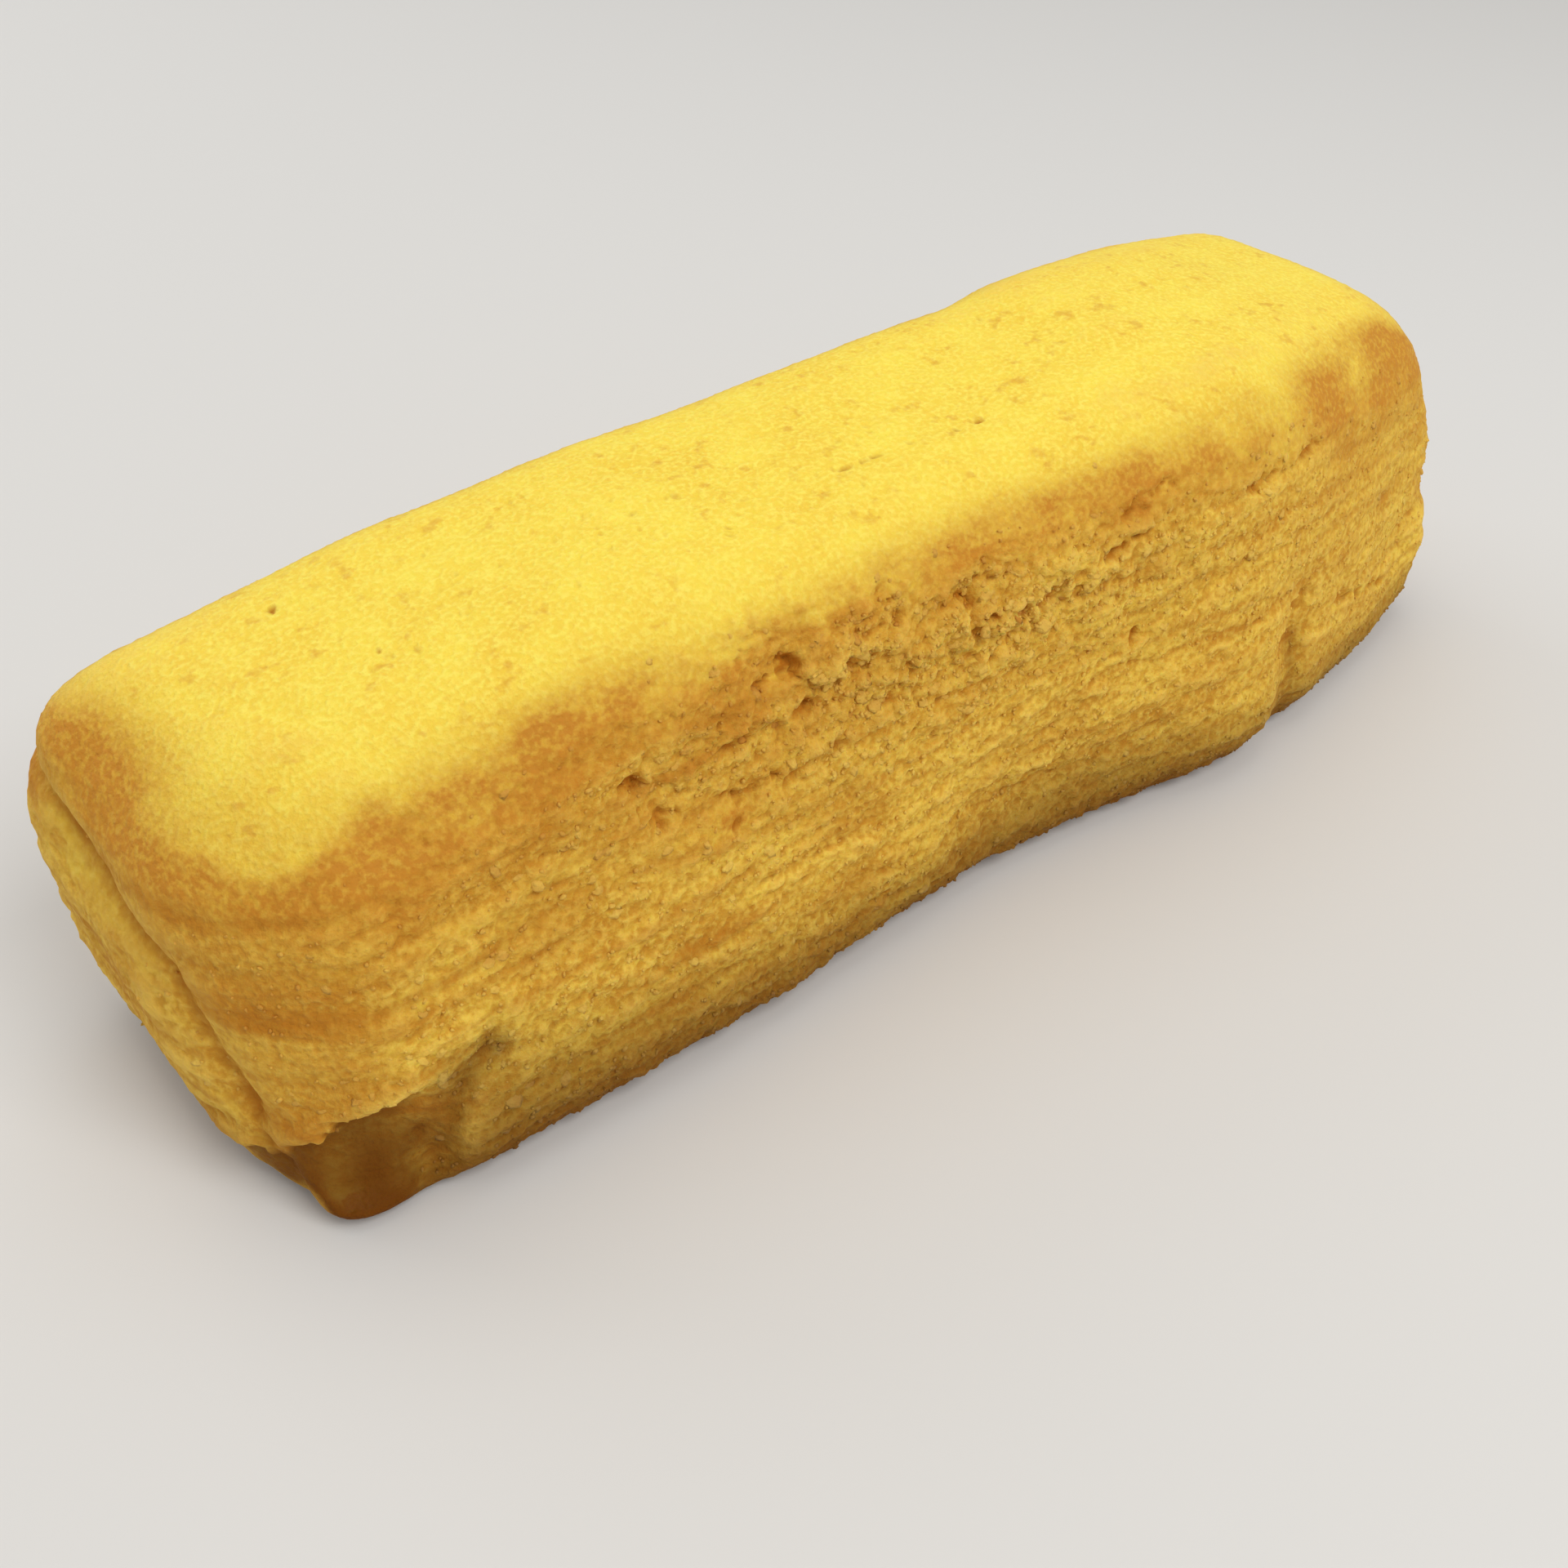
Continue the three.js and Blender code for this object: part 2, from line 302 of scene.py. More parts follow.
class Surface:
    """The bar's surface in mm, with the way it faces and its parts as masks from 0 to 1."""

    def __init__(self, mesh):
        self.points = vertex_array(mesh, "co") / MM
        self.normals = vertex_array(mesh, "normal")
        self.x, self.y, self.z = self.points.T
        self.facing_x, self.facing_y, self.up = self.normals.T
        self.side = 1 - smoothstep(np.abs(self.up), 0.65, 0.95)
        self.front = smoothstep(-self.facing_y, 0.3, 0.7)
        self.back = smoothstep(self.facing_y, 0.3, 0.7)
        self.left_end = smoothstep(-self.facing_x, 0.35, 0.8)
        self.right_end = smoothstep(self.facing_x, 0.35, 0.8)
        self.under = smoothstep(-self.up, 0.5, 0.9)
        self.skin = self.skin_share()
        self.chip, self.rim = self.chip_shares()
        self.torn = self.patch(TORN)
        self.layer = self.layer_count()
        self.swells = self.streaks(12, 1.2, 27.2)
        self.below_groove = self.groove_distance()
        self.above_groove = 1 - smoothstep(self.below_groove, 0, 2)

    def lumps(self, size, seed):
        """Smooth noise on the surface, with lumps of a size in mm."""
        return noise_at(self.points, size, seed)

    def streaks(self, length, layers, seed):
        """Smooth noise drawn out along the layers, with lumps of a length in mm and a height in layers."""
        return noise_at(np.stack([self.x / length, self.y / length, self.layer / layers], 1), 1, seed)

    def ragged(self, reach, size, seed):
        """The points, shifted about by up to a reach in mm, so that edges drawn at them come out jagged."""
        shifts = [noise.noise_vector(place)[:] for place in noise_places(self.points, size, seed)]
        return self.points + reach * np.array(shifts)

    def patch(self, spot):
        """A patch of the front with a soft edge."""
        return bell(self.x - spot["x"], spot["reach_x"]) * bell(self.z - spot["z"], spot["reach_z"])

    def groove_distance(self):
        """How far each point lies below the groove of the left end."""
        slope = np.where(self.y > GROOVE["y"], GROOVE["rise"], GROOVE["fall"])
        return (GROOVE["z"] + slope * (self.y - GROOVE["y"]) - self.z) / np.hypot(1, slope)

    def skin_share(self):
        """The baked skin of the top, which ends sooner over the torn crumb than elsewhere."""
        wander = 0.1 * self.lumps(5, 3.1) + 0.14 * self.lumps(1.5, 7.7)
        wander += 0.2 * self.lumps(0.7, 9.2)
        limit = 0.46 + 0.14 * self.front * bell(self.x + 4, 22)
        return smoothstep(self.up + wander - limit, -0.28, 0.26)

    def chip_shares(self):
        """The break above the foot, and the jagged rim over it."""
        slow = CHIP["slope"] * np.maximum(0, CHIP["right"] - self.x)
        steep = CHIP["fall"] * np.maximum(0, CHIP["bend"] - self.x)
        jagged = 1.1 * self.lumps(2.0, 17.9) + 0.6 * self.lumps(0.8, 19.3)
        below_rim = CHIP["shelf"] - slow - steep + jagged - self.z
        wander = 1.2 * self.lumps(3, 23.4)
        facing = smoothstep(-self.facing_y, -0.05, 0.35)
        beside = facing * smoothstep(CHIP["right"] - self.x + jagged + wander, -1.5, 3.5)
        return beside * smoothstep(below_rim, 0, CHIP["edge"]), beside * bell(below_rim + 0.9, 1.0)

    def layer_count(self):
        """Number of baked layers below each point. The layers follow the top of the bar, which is measured
        at stations between its rounded ends."""
        stations = np.linspace(self.x.min() + 10, self.x.max() - 10, 30)
        tops = [self.z[np.abs(self.x - station) < 3].max() for station in stations]
        level = self.z / np.interp(self.x, stations, tops)
        waves = 0.5 * self.lumps((16, 16, 7), 12.4) + 0.3 * self.lumps((4.5, 4.5, 2), 14.6)
        return LAYERS * level + waves


def layer_relief(cake):
    """Fine lines between the layers, which come and go."""
    from_line = np.abs(cake.layer - np.round(cake.layer))
    presence = np.clip(0.35 + 1.3 * cake.lumps((14, 14, 4), 21.3), 0, 1)
    return -0.2 * bell(from_line, 0.18) * presence


def crumb_relief(cake, random):
    """Open crumb: soft lumps drawn out along the layers, with creases between them and grit on them."""
    drawn_out = 0.6 * np.abs(cake.streaks(4, 0.9, 33.7)) + 0.45 * np.abs(cake.streaks(1.6, 0.5, 37.1))
    rounded = np.abs(cake.lumps(2.8, 35.4)) + 0.75 * np.abs(cake.lumps(1.3, 39.6))
    lumps = drawn_out + cake.torn * (rounded - drawn_out)
    grains = (0.3 + 0.25 * cake.torn) * np.abs(cake.lumps(0.8, 41.2))
    grit = (1 + 0.8 * cake.torn) * random.normal(0, 0.04, len(cake.x))
    swells = (1 - 0.7 * cake.torn) * (0.4 * cake.swells)
    return swells + profile(cake.x, OPEN_CRUMB) * (lumps - 0.25 + grains + grit)


def torn_relief(cake):
    """Flakes of crumb that stand out or are torn away below the top edge, with gaps between them."""
    edge, own, low = clumps(cake.ragged(0.9, 1.3, 47.1), (4.2, 4.2, 3.2), 15.3)
    gaps = 1 - smoothstep(edge, 0.02, 0.28)
    deep = smoothstep(cake.lumps((7, 7, 4.5), 61.8), -0.1, 0.4)
    return cake.torn * (0.4 * own + 0.4 * low - 0.4 * gaps * deep - 0.1 * deep)


def pit_relief(cake):
    """Pits in the crumb of the front, with jagged rims, a little longer than they are high."""
    jagged = cake.ragged(0.8, 0.8, 71.9)
    deepest = np.zeros(len(cake.x))
    for x, z, radius, depth in FRONT_PITS:
        share = np.hypot(jagged[:, 0] - x, 1.2 * (jagged[:, 2] - z)) / radius
        deepest = np.maximum(deepest, depth * (1 - smoothstep(share, 0.3, 1.15)))
    return -deepest


def crack_relief(cake, u, v, cracks, width, depth):
    """Cracks along lines in the plane of u and v, which wander and are broken here and there."""
    wander_u = u + 0.5 * cake.lumps(1.3, 81.4) + 0.3 * cake.lumps(0.6, 83.1)
    wander_v = v + 0.5 * cake.lumps(1.3, 93.5) + 0.3 * cake.lumps(0.6, 95.2)
    nearest = np.min([distance_to_line(wander_u, wander_v, ends) for ends in cracks], axis=0)
    broken = smoothstep(cake.lumps(1.6, 97.8), -0.35, 0.15)
    return -depth * bell(nearest, width) * broken


def pore_places(random):
    """Places of pores in the top skin: some in clusters, some alone, each with a radius."""
    clustered = [random.normal(middle, CLUSTER_SPREAD, (PORES_PER_CLUSTER, 2)) for middle in PORE_CLUSTERS]
    alone = random.uniform(*LONE_PORE_AREA, (LONE_PORES, 2))
    places = np.concatenate([*clustered, alone])
    return places, random.uniform(*PORE_RADII, len(places))


def skin_relief(cake, random):
    """The top skin: low wrinkles along the bar, pores, short cracks and a faint crease."""
    wrinkles = 0.1 * cake.lumps((9, 3, 9), 101.2) + 0.05 * cake.lumps((2.6, 1.2, 2), 111.7)
    from_dark_pore = np.hypot(cake.x - DARK_PORE["x"], cake.y - DARK_PORE["y"])
    pores = DARK_PORE["times_deeper"] * bell(from_dark_pore, DARK_PORE["radius"])
    jagged = cake.ragged(0.5, 0.6, 115.3)
    places, radii = pore_places(random)
    for (x, y), radius in zip(places, radii):
        pores = np.maximum(pores, bell(np.hypot(0.65 * (jagged[:, 0] - x), jagged[:, 1] - y), radius))
    cracks = crack_relief(cake, cake.x, cake.y, TOP_CRACKS, width=0.32, depth=0.28)
    crease = -0.2 * bell(distance_to_line(cake.x, cake.y, TOP_CREASE), 1.1)
    grain = 0.06 * np.abs(cake.lumps(0.9, 117.6)) + random.normal(0, 0.022, len(cake.x))
    return wrinkles + grain - PORE_DEPTH * pores + cracks + crease


def groove_and_break_relief(cake):
    """The bottom of the left end's groove, the break above the foot, and the two creases of the front."""
    across = cake.below_groove + 0.4 * cake.lumps(2.5, 141.6)
    groove = -0.5 * cake.left_end * bell(across, 0.8)
    jagged = cake.ragged(0.6, 1.5, 151.8)
    crease = -0.9 * cake.front * bell(distance_to_line(jagged[:, 0], jagged[:, 2], CHIP_CREASE), 1.3)
    side_crease = -0.4 * cake.front * bell(distance_to_line(jagged[:, 0], jagged[:, 2], SIDE_CREASE), 1.5)
    return groove + crease + side_crease - 0.6 * cake.chip * smoothstep(cake.z, 0.5, 4) + 0.45 * cake.rim


def relief(cake, random):
    """How far the fine surface stands out from the CAD bar at each point, in mm."""
    rough = cake.side * (1 - cake.skin) * (1 - 0.85 * cake.chip)
    calm = 1 - (0.2 + 0.4 * cake.above_groove) * cake.left_end - 0.35 * cake.right_end - 0.2 * cake.back
    crumb = rough * calm * (crumb_relief(cake, random) + (1 - 0.7 * cake.torn) * layer_relief(cake))
    torn = cake.front * rough * (torn_relief(cake) + pit_relief(cake))
    crevices = crack_relief(cake, cake.x, cake.z, FRONT_CREVICES, width=0.4, depth=0.8)
    skin = cake.skin * skin_relief(cake, random)
    return crumb + torn + cake.front * rough * crevices + skin + groove_and_break_relief(cake)


def browned_share(cake):
    """Toasting of the rounded edges: deep at both ends, fading over the torn crumb, and blotchy. The more
    a point of an edge faces up, the higher it lies on that edge."""
    blotches = 0.85 + 0.6 * cake.lumps(6, 121.3) + 0.3 * cake.lumps(2.2, 123.9)
    above = cake.up - 0.56 + 0.22 * bell(cake.x + 25, 8)
    left_over = profile(cake.x, LOW_TOAST)
    depth_below = profile(cake.x, {-30: 0.36, 0: 0.22, 20: 0.22, 40: 0.36})
    fading = (left_over + (1 - left_over) * bell(above, depth_below)) * smoothstep(cake.z, 14, 30)
    edge = np.where(above > 0, bell(above, profile(cake.x, {15: 0.26, 40: 0.42})), fading)
    front = cake.front * edge * profile(cake.x, FRONT_TOAST)
    back = 1.1 * smoothstep(cake.facing_y, 0.25, 0.6) * bell(cake.up - 0.6, 0.3)
    corner = smoothstep(cake.facing_y - cake.facing_x, 0.5, 0.95) * bell(cake.up - 0.5, 0.3)
    above_end = cake.up - 0.61 - 0.009 * cake.y
    end_edge = np.where(above_end > 0, bell(above_end, 0.18), 0.4 + 0.6 * bell(above_end, 0.35))
    left = smoothstep(-cake.facing_x, 0.15, 0.65) * end_edge * (0.3 + 0.7 * cake.above_groove)
    right = smoothstep(cake.facing_x, 0.2, 0.6) * np.maximum(0.9 * edge, 0.5)
    blotchy = blotches * np.max([front, back, corner], axis=0)
    return np.clip(np.maximum(blotchy, np.maximum(left, right) * (0.55 + 0.45 * blotches)), 0, 1)


def foot_crust_and_painted_shade(cake):
    """Dark amber: the real crust of the foot, underside and break, with painted shade over them, on the low
    front, on the low left end and in the creases.
    """
    # The foot's crust, with a wider gradient of painted shade that darkens towards the foot
    uneven_foot = 1.5 + 0.9 * cake.lumps(4, 131.4) - cake.z
    foot = 0.75 * smoothstep(uneven_foot, -0.6, 1.2) + 0.15 * smoothstep(uneven_foot, -6, 0)
    # The break: its own deeper crumb, darkened further with painted shade
    broken = cake.chip * profile(cake.z, {2: 1.0, 9: 0.78}) * (1 + 0.12 * cake.lumps(3, 137.5))
    # Painted shade on the low front, in the creases and on the low left end, where the cake lies in its own
    # shade
    reach = profile(cake.x, LOW_FRONT_SHADE_REACH)
    painted_low_front_shade = 0.95 * smoothstep(-cake.facing_y, -0.1, 0.3) * smoothstep(reach - cake.z, 0, reach)
    from_side_crease = 1.2 + 1.2 * distance_to_line(cake.x, cake.z, SIDE_CREASE)
    from_crease = np.minimum(distance_to_line(cake.x, cake.z, CHIP_CREASE), from_side_crease)
    creases = 0.72 * cake.front * bell(from_crease + 0.8 * cake.lumps(2, 139.7), 2.3)
    painted_low_end_shade = 0.5 * cake.left_end * smoothstep(12 - cake.z, 0, 12)
    return np.clip(np.max([foot, cake.under, painted_low_front_shade, painted_low_end_shade, broken, creases], axis=0), 0, 1)


def fold_tone_and_shade(cake):
    """Deeper tone of the crumb: real amber streaks along the layers and patches on the torn front, and
    painted shade in the low folds of the swells and over the back and right end.
    """
    # Painted shade in the low folds between the swells of the relief
    painted_fold_shade = profile(cake.x, {-30: 0.32, 0: 0.25, 25: 0.2}) * smoothstep(-cake.swells, 0.05, 0.45)
    thin = profile(cake.x, {-30: 0.4, 0: 0.2}) * smoothstep(-cake.streaks(15, 0.55, 31.8), 0.1, 0.45)
    drawn_out = profile(cake.x, {0: 0.12, 25: 0.24}) * smoothstep(-cake.streaks(18, 0.7, 29.4), 0.1, 0.4)
    patches = 0.22 * cake.front * cake.torn * smoothstep(cake.lumps((5, 5, 3), 135.2), -0.35, 0.35)
    # Painted shade: a deeper amber over the whole back and the right end
    painted_side_shade = 0.2 * cake.back + 0.1 * cake.right_end
    return cake.side * (1 - cake.skin) * (np.max([painted_fold_shade + thin, drawn_out, patches], axis=0) + painted_side_shade)


def surface_tones(cake, hollows):
    """What the material needs to know at each point, as shares from 0 to 1, and the layer count. Hollows
    tells in mm how far a point lies below its surroundings."""
    # Painted shade: deeper amber in pores and other hollows of the surface, where shade falls
    painted_hollow_shade = smoothstep(hollows, 0.05 * cake.skin, 0.5 - 0.22 * cake.skin)
    return {
        "skin": cake.skin,
        "browned": browned_share(cake),
        "hollow_shade_and_fold_tone": np.maximum(painted_hollow_shade, fold_tone_and_shade(cake)),
        # Painted light: paler on crests that stand above their surroundings
        "crest_light": smoothstep(-hollows, 0.0, 0.35),
        "layer": cake.layer,
        # Foot tone: real crust of the foot, underside and break, with painted shade on the low front, low
        # left end and creases
        "foot": foot_crust_and_painted_shade(cake),
    }


def paint(mesh, tones):
    """Puts the tones on the vertices of a mesh, for its material."""
    for name, values in tones.items():
        attribute = mesh.attributes.new(name, "FLOAT", "POINT")
        attribute.data.foreach_set("value", values.astype(np.float32))


def cake_body(random):
    """The bar with all of its relief, its surface and the tones of that surface."""
    mesh = fine_copy(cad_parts["baumkuchen_stick"])
    mesh.name = "cake_body"
    plain = vertex_array(mesh, "co")
    eased = neighbour_mean(mesh, plain, EASING_ROUNDS)
    flat = plain[:, 2] < FLAT_FOOT * MM
    eased[flat] = plain[flat]
    mesh.vertices.foreach_set("co", eased.astype(np.float32).ravel())
    mesh.update()
    cake = Surface(mesh)
    moved = cake.points + cake.normals * (relief(cake, random) * (1 - cake.under))[:, None]
    moved[:, 2] = np.maximum(moved[:, 2], 0)
    hollows = np.sum((neighbour_mean(mesh, moved, HOLLOW_ROUNDS) - moved) * cake.normals, axis=1)
    mesh.vertices.foreach_set("co", (moved * MM).astype(np.float32).ravel())
    mesh.polygons.foreach_set("use_smooth", np.ones(len(mesh.polygons), bool))
    tones = surface_tones(cake, hollows)
    paint(mesh, tones)
    mesh.update()
    return mesh, cake, tones


def scattered_places(mesh, density, count, random):
    """Chance places on the body, more of them where the density is higher: places in mm, the way the
    surface faces there, and a vertex close by."""
    mesh.calc_loop_triangles()
    corners = np.zeros(len(mesh.loop_triangles) * 3, np.int32)
    mesh.loop_triangles.foreach_get("vertices", corners)
    corners = corners.reshape(-1, 3)
    points = vertex_array(mesh, "co") / MM
    first, second, third = (points[corners[:, corner]] for corner in range(3))
    area = np.linalg.norm(np.cross(second - first, third - first), axis=1)
    weight = area * density[corners].mean(axis=1)
    picked = corners[random.choice(len(corners), count, p=weight / weight.sum())]
    share = random.dirichlet((1, 1, 1), count)
    places = np.einsum("nc,ncd->nd", share, points[picked])
    facing = np.einsum("nc,ncd->nd", share, vertex_array(mesh, "normal")[picked])
    return places, facing / np.linalg.norm(facing, axis=1)[:, None], picked[:, 0]


def chance_radii(kind, count, random):
    """Radii in mm, most of them near the usual one."""
    radii = random.lognormal(np.log(kind["usual"]), kind["spread"], count)
    return np.clip(radii, kind["least"], kind["most"])


def unit_shape(create, **sizes):
    """Corners and triangles of a bmesh shape about 1 mm in radius, sorted to be the same each run."""
    shape = bmesh.new()
    create(shape, radius=1, **sizes)
    bmesh.ops.triangulate(shape, faces=shape.faces)
    corners = np.array([vertex.co[:] for vertex in shape.verts])
    faces = np.array(sorted([vertex.index for vertex in face.verts] for face in shape.faces))
    shape.free()
    return corners, faces


def crumbs(name, shape, places, facing, sizes, random):
    """Many uneven copies of a shape, joined in one mesh. Each has a size along, across and off the
    surface that it lies on, and is turned about by chance."""
    corners, faces = shape
    count = len(places)
    across = np.cross(facing, random.normal(size=(count, 3)))
    across /= np.linalg.norm(across, axis=1)[:, None]
    axes = np.stack([np.cross(across, facing), across, facing], axis=1) * sizes[:, :, None]
    uneven = corners[None] * random.uniform(0.75, 1.25, (count, len(corners), 1))
    points = places[:, None] + np.einsum("nca,nad->ncd", uneven, axes)
    numbers = faces[None] + len(corners) * np.arange(count)[:, None, None]
    mesh = bpy.data.meshes.new(name)
    mesh.from_pydata((points.reshape(-1, 3) * MM).tolist(), [], numbers.reshape(-1, 3).tolist())
    mesh.polygons.foreach_set("use_smooth", np.ones(len(mesh.polygons), bool))
    return mesh


def crumb_tones(tones, nearest, corner_count):
    """Tones of loose crumbs, taken from the body under them, but without its skin, with less of its painted
    hollow shade and more painted light on their crests, so that they come out paler.
    """
    under = {name: np.repeat(values[nearest], corner_count) for name, values in tones.items()}
    under["skin"] = np.zeros_like(under["skin"])
    under["hollow_shade_and_fold_tone"] = 0.8 * under["hollow_shade_and_fold_tone"]
    under["crest_light"] = np.maximum(0.5 - 0.5 * under["hollow_shade_and_fold_tone"], under["crest_light"])
    return under


def crumb_grains(body, cake, tones, random):
    """Grains of crumb, about a third of a millimetre, bedded in the sides, most of them on the front."""
    crumb = cake.side * (1 - cake.skin) * (1 - cake.chip) * (1 - cake.under) * (1 - 0.8 * tones["browned"])
    where = cake.front * (0.8 + 0.9 * cake.torn) + 0.35 * cake.back
    where = where + 0.05 * cake.left_end + 0.2 * cake.right_end
    patches = 0.35 + smoothstep(cake.lumps(3.2, 161.4), -0.4, 0.4)
    places, facing, nearest = scattered_places(body, crumb * where * patches, GRAINS, random)
    radii = chance_radii(GRAIN_RADIUS, GRAINS, random)[:, None]
    sizes = radii * random.uniform((0.8, 0.6, 0.6), (1.4, 1.0, 1.1), (GRAINS, 3))
    shape = unit_shape(bmesh.ops.create_icosphere, subdivisions=1)
    mesh = crumbs("crumb_grains", shape, places + 0.1 * radii * facing, facing, sizes, random)
    paint(mesh, crumb_tones(tones, nearest, len(shape[0])))
    return mesh


def crumb_flakes(body, cake, tones, random):
    """Flat flakes of crumb, about 0.5 to 2 mm, whose lower edges stand off the torn parts of the front."""
    crumb = cake.front * cake.side * (1 - cake.skin) * (1 - cake.chip) * (1 - cake.under)
    where = 0.08 + cake.torn + 1.5 * cake.patch(RIM_FLAKES)
    density = crumb * where * (1 - 0.7 * tones["browned"])
    places, facing, nearest = scattered_places(body, density, FLAKES, random)
    lifted = facing + np.array([0, 0, 0.4])
    lifted /= np.linalg.norm(lifted, axis=1)[:, None]
    radii = chance_radii(FLAKE_RADIUS, FLAKES, random)[:, None]
    sizes = radii * random.uniform((0.9, 0.6, 0.25), (1.3, 0.9, 0.4), (FLAKES, 3))
    shape = unit_shape(bmesh.ops.create_uvsphere, u_segments=8, v_segments=4)
    mesh = crumbs("crumb_flakes", shape, places - 0.2 * radii * facing, lifted, sizes, random)
    paint(mesh, crumb_tones(tones, nearest, len(shape[0])))
    return mesh


def linear(hex_colour):
    """Linear colour with alpha from an sRGB hex value."""
    shares = [int(hex_colour[at : at + 2], 16) / 255 for at in (1, 3, 5)]
    curved = [((share + 0.055) / 1.055) ** 2.4 for share in shares]
    return [share / 12.92 if share <= 0.04045 else bent for share, bent in zip(shares, curved)] + [1]


def add(tree, kind, inputs=None, **settings):
    """Adds a shader node. Inputs go by name or number, each a plain value or another node's output."""
    node = tree.nodes.new(kind)
    for name, value in settings.items():
        setattr(node, name, value)
    for socket, value in (inputs or {}).items():
        if isinstance(value, bpy.types.NodeSocket):
            tree.links.new(value, node.inputs[socket])
        else:
            node.inputs[socket].default_value = value
    return node


# Sockets of a Mix node: the share, and the two values and the outcome when it mixes colours or numbers
SHARE = 0
FIRST_COLOUR, SECOND_COLOUR, MIXED_COLOUR = 6, 7, 2
FIRST_NUMBER, SECOND_NUMBER, MIXED_NUMBER = 2, 3, 0


def mixed(tree, share, first, second):
    """A colour between two colours."""
    inputs = {SHARE: share, FIRST_COLOUR: first, SECOND_COLOUR: second}
    return add(tree, "ShaderNodeMix", inputs, data_type="RGBA").outputs[MIXED_COLOUR]


def grainy(tree, place, size_mm, detail):
    """Noise with lumps of a size in mm."""
    inputs = {"Vector": place, "Scale": 1 / (size_mm * MM), "Detail": detail}
    return add(tree, "ShaderNodeTexNoise", inputs).outputs[0]


def ramp(tree, value, start, end, low=0.0, high=1.0, **settings):
    """Goes from low where the value is at the start to high where it is at the end."""
    inputs = {"Value": value, "From Min": start, "From Max": end, "To Min": low, "To Max": high}
    return add(tree, "ShaderNodeMapRange", inputs, **settings).outputs[0]


def worked_out(tree, operation, first, second, **settings):
    """Outcome of a calculation with two values."""
    return add(tree, "ShaderNodeMath", {0: first, 1: second}, operation=operation, **settings).outputs[0]


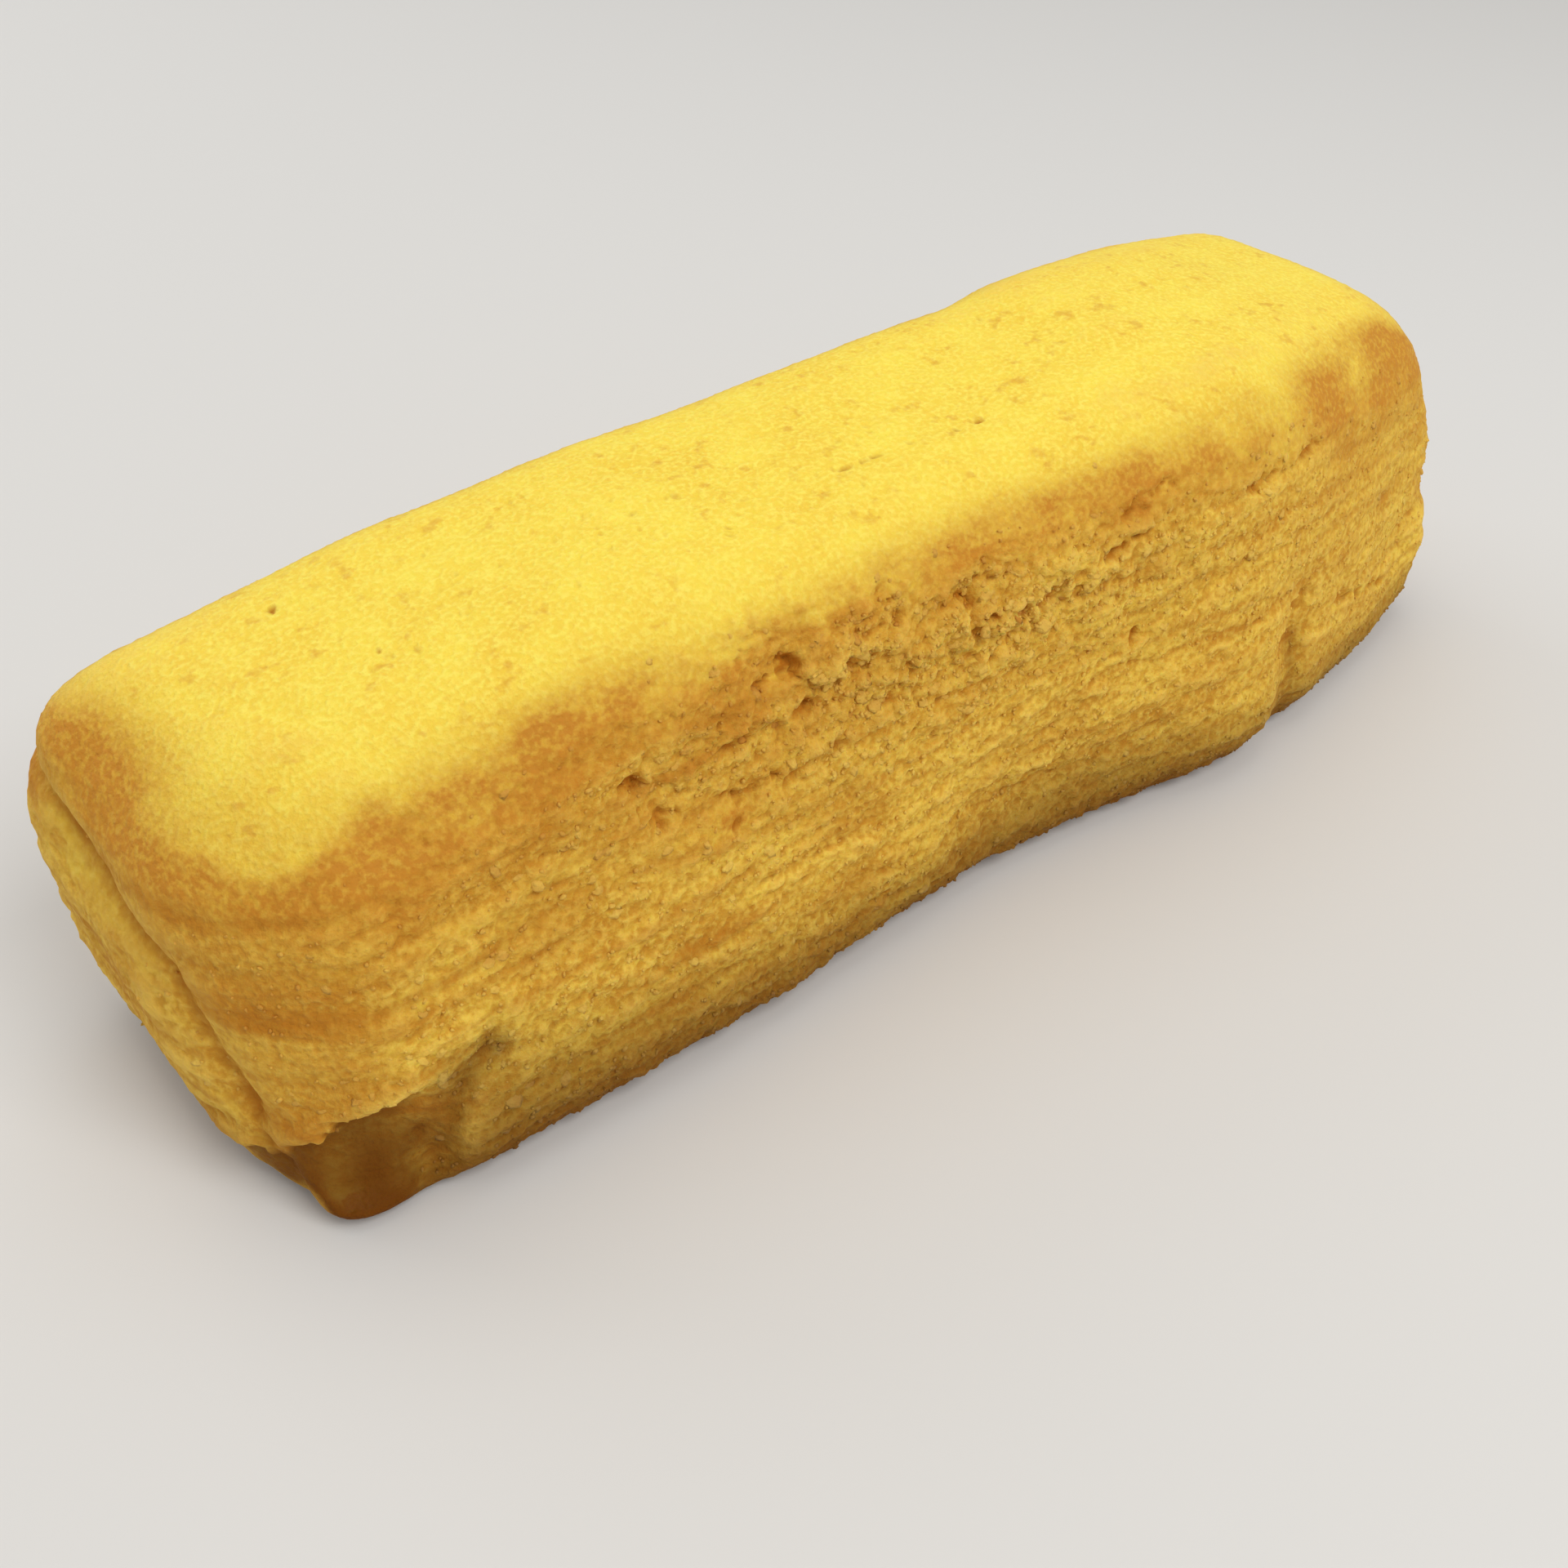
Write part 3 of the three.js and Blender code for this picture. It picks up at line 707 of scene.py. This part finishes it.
def egg_sponge(name, glow, gloss):
    """Egg sponge baked in thin layers: a matte, faintly translucent crumb under a smooth yellow skin with
    pores and toasted edges. Painted light is in its colour: paler crests and grains, and painted deep
    orange shade in its hollows, folds, creases and low parts."""
    material = bpy.data.materials.new(name)
    material.use_nodes = True
    tree = material.node_tree
    shader = tree.nodes["Principled BSDF"]
    place = add(tree, "ShaderNodeTexCoord").outputs["Object"]
    tone = {
        share: add(tree, "ShaderNodeAttribute", attribute_name=share).outputs["Fac"]
        for share in ("skin", "browned", "hollow_shade_and_fold_tone", "crest_light", "layer", "foot")
    }

    # Patches of paler and deeper crumb, drawn out along the layers, and lines between the layers
    drawn_out = add(tree, "ShaderNodeMapping", {"Vector": place, "Scale": (0.45, 0.45, 1)}).outputs[0]
    patches = grainy(tree, drawn_out, 2.2, 4.0)
    broad = grainy(tree, drawn_out, 7.0, 1.0)
    patch_share = ramp(tree, worked_out(tree, "ADD", patches, broad), 0.75, 1.25)
    crumb = mixed(tree, patch_share, linear("#d79f32"), linear("#f0c64a"))
    to_line = worked_out(tree, "PINGPONG", tone["layer"], 0.5)
    line_share = ramp(tree, to_line, 0.0, 0.26, 0.5, 0.0, interpolation_type="SMOOTHSTEP")
    broken_lines = worked_out(tree, "MULTIPLY", line_share, patches)

    # Yellow skin with a faint mottle and painted highlights on the raised fine grains of its bump, and
    # amber flecks that come in patches
    mottle = grainy(tree, place, 5.0, 5.0)
    even_skin = mixed(tree, ramp(tree, mottle, 0.3, 0.7), linear("#f2cb43"), linear("#f8db4e"))
    fine_grains = grainy(tree, place, 0.4, 2.0)
    skin_grain_highlight = ramp(tree, fine_grains, 0.42, 0.68, high=0.75)
    skin = mixed(tree, skin_grain_highlight, even_skin, linear("#fee967"))
    flecks = ramp(tree, grainy(tree, drawn_out, 0.7, 3.0), 0.58, 0.7, high=0.55)
    fleck_share = worked_out(tree, "MULTIPLY", flecks, ramp(tree, mottle, 0.58, 0.44))

    # Painted highlights on the raised grains of the crumb's bump, and painted amber shade in the gaps
    # between them
    grit = grainy(tree, place, 0.6, 3.0)
    grain_highlight = ramp(tree, grit, 0.45, 0.7, high=0.8)
    gaps = ramp(tree, grit, 0.52, 0.32, high=0.55)

    # Toasting, which takes on some grains more than others
    toast_share = ramp(tree, grainy(tree, place, 0.5, 3.0), 0.36, 0.62, 0.72, 1.1)
    toasted = worked_out(tree, "MULTIPLY", tone["browned"], toast_share, use_clamp=True)

    # Colours laid over the crumb, one after another, each with its share. The bright grains and crests are
    # painted highlights, the gaps are painted shade, the hollow tone is painted shade with some real
    # streaks, and the foot tone is real crust with painted shade over the low parts and the creases.
    colour = crumb
    steps = (
        (broken_lines, linear("#b47326")),
        (gaps, linear("#c68624")),
        (grain_highlight, linear("#fad55e")),
        (tone["skin"], skin),
        (fleck_share, linear("#d9992f")),
        (tone["crest_light"], linear("#f0c658")),
        (toasted, linear("#c9882a")),
        (tone["hollow_shade_and_fold_tone"], linear("#ba741a")),
        (tone["foot"], linear("#6f3d00")),
    )
    for share, over in steps:
        colour = mixed(tree, share, colour, over)

    # Granular crumb, about 0.6 mm, that turns to a finer grain on the skin
    skin_height = worked_out(tree, "MULTIPLY", fine_grains, 0.5)
    heights = {SHARE: tone["skin"], FIRST_NUMBER: grit, SECOND_NUMBER: skin_height}
    height = add(tree, "ShaderNodeMix", heights, data_type="FLOAT").outputs[MIXED_NUMBER]
    bump = add(tree, "ShaderNodeBump", {"Height": height, "Strength": 1.0, "Distance": 0.34 * MM})

    tree.links.new(colour, shader.inputs["Base Color"])
    tree.links.new(ramp(tree, tone["skin"], 0.0, 1.0, 0.8, 0.66), shader.inputs["Roughness"])
    tree.links.new(bump.outputs[0], shader.inputs["Normal"])
    shader.inputs["IOR"].default_value = 1.4
    shader.inputs["Specular IOR Level"].default_value = gloss
    shader.inputs["Subsurface Weight"].default_value = glow
    shader.inputs["Subsurface Radius"].default_value = (1.0, 0.5, 0.15)
    shader.inputs["Subsurface Scale"].default_value = 1.2 * MM
    return material


def coated_paper():
    """Matte coated paper: an even, pale ground with no gloss."""
    material = bpy.data.materials.new("matte coated paper")
    material.use_nodes = True
    shader = material.node_tree.nodes["Principled BSDF"]
    shader.inputs["Base Color"].default_value = linear("#dcdad6")
    shader.inputs["Roughness"].default_value = 0.9
    return material


def show(name, mesh, material):
    """A piece of the object at the origin, which rides with the bar and takes its finish."""
    piece = bpy.data.objects.new(name, mesh)
    bpy.context.scene.collection.objects.link(piece)
    mesh.materials.clear()
    mesh.materials.append(material)
    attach(piece, "root")
    return piece


def floor():
    """A square sheet on which the bar lies."""
    ground = bmesh.new()
    bmesh.ops.create_grid(ground, x_segments=1, y_segments=1, size=FLOOR_HALF_WIDTH)
    mesh = bpy.data.meshes.new("floor")
    ground.to_mesh(mesh)
    ground.free()
    mesh.materials.append(coated_paper())
    plane = bpy.data.objects.new("floor", mesh)
    bpy.context.scene.collection.objects.link(plane)


def camera():
    """The photograph's place and angle."""
    data = bpy.data.cameras.new("camera")
    data.sensor_width = SENSOR_WIDTH
    data.lens = SENSOR_WIDTH * FOCAL_PIXELS / FRAME_PIXELS
    data.clip_start = NEAREST_SHOWN
    view = bpy.data.objects.new("camera", data)
    turned = Matrix((VIEW_RIGHT, VIEW_UP, VIEW_BACK)).transposed().to_4x4()
    view.matrix_world = Matrix.Translation(Vector(EYE) * MM) @ turned
    bpy.context.scene.collection.objects.link(view)
    bpy.context.scene.camera = view


def lights():
    """An even white sky, and lamps that face the bar."""
    world = bpy.data.worlds.new("studio")
    world.use_nodes = True
    sky = world.node_tree.nodes["Background"]
    sky.inputs["Color"].default_value = linear("#ffffff")
    sky.inputs["Strength"].default_value = SKY_STRENGTH
    bpy.context.scene.world = world
    for name, place, size, energy in STUDIO_LAMPS:
        data = bpy.data.lights.new(name, "AREA")
        data.size = size
        data.energy = energy
        lamp = bpy.data.objects.new(name, data)
        lamp.location = place
        lamp.rotation_euler = (-lamp.location).to_track_quat("-Z", "Y").to_euler()
        bpy.context.scene.collection.objects.link(lamp)
    bpy.context.scene.view_settings.view_transform = "Standard"


# The second seed is for noise_vector, which takes another part of the noise each run without one
random = np.random.RandomState(SEED)
noise.seed_set(SEED)

body_mesh, body_surface, body_tones = cake_body(random)
body = show("cake_body", body_mesh, egg_sponge("egg sponge, baked in layers", glow=0.3, gloss=0.2))
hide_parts("baumkuchen_stick")
crumbled = egg_sponge("egg sponge, crumbled", glow=0.05, gloss=0.6)
show("crumb_grains", crumb_grains(body_mesh, body_surface, body_tones, random), crumbled)
show("crumb_flakes", crumb_flakes(body_mesh, body_surface, body_tones, random), crumbled)
floor()
camera()
lights()
